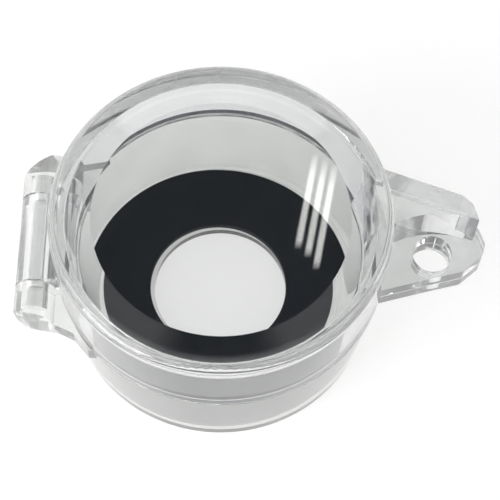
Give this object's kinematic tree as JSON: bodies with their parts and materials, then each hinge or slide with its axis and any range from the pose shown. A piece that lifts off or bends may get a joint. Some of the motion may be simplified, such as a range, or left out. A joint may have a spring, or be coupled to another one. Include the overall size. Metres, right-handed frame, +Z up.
{
  "type": "push button lockout cover",
  "caption": "Clear plastic hinged cup that closes over a panel push button and is held shut by a padlock through its tapered tabs.",
  "frame": {"origin": "on the axis of the button hole, at the flat underside of the base", "axes": "+Z up along the button hole's axis, +X from the hinge towards the padlock tabs, +Y to the rear"},
  "size_m": [0.074, 0.053, 0.031],
  "materials": {
    "clear_plastic": "clear, polished",
    "pin_plastic": "clear, polished",
    "black_rubber": "satin"
  },
  "bodies": {
    "base": {"base": "clear_plastic", "hinge_pin": "pin_plastic", "rubber_ring": "black_rubber"},
    "cover": {"cover": "clear_plastic"}
  },
  "joints": [
    {"name": "cover_hinge", "type": "hinge", "parent": "base", "child": "cover", "pos_m": [-0.029, 0, 0.018], "axis": [0, -1, 0], "range_deg": [0, 180]}
  ]
}
